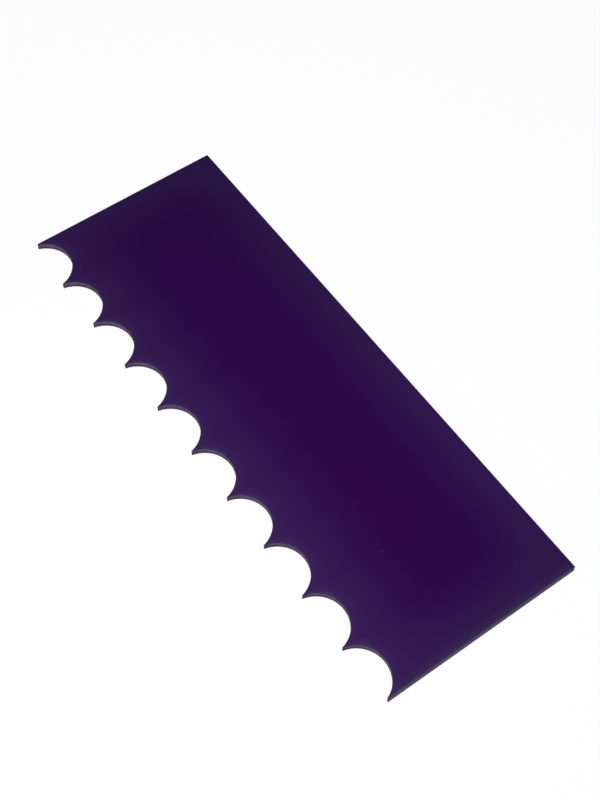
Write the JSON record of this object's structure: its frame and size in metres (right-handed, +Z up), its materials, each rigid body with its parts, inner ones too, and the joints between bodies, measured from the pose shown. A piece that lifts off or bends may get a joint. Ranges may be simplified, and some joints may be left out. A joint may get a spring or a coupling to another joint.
{
  "type": "icing smoother",
  "caption": "Flat rectangular blade of rigid sheet with a straight smoothing edge and, opposite it, a scalloped edge that combs ridges into icing.",
  "frame": {"origin": "centre of the underside, at the middle of the overall length and width", "axes": "+X along the blade, +Y across it towards the straight edge, so that the scallops are on the -Y side, +Z up through the sheet"},
  "size_m": [0.25, 0.09, 0.003],
  "materials": {
    "purple_acrylic": "opaque dark purple cast acrylic, gloss faces, laser-cut walls"
  },
  "bodies": {
    "root": {"scalloped_blade": "purple_acrylic"}
  },
  "joints": []
}
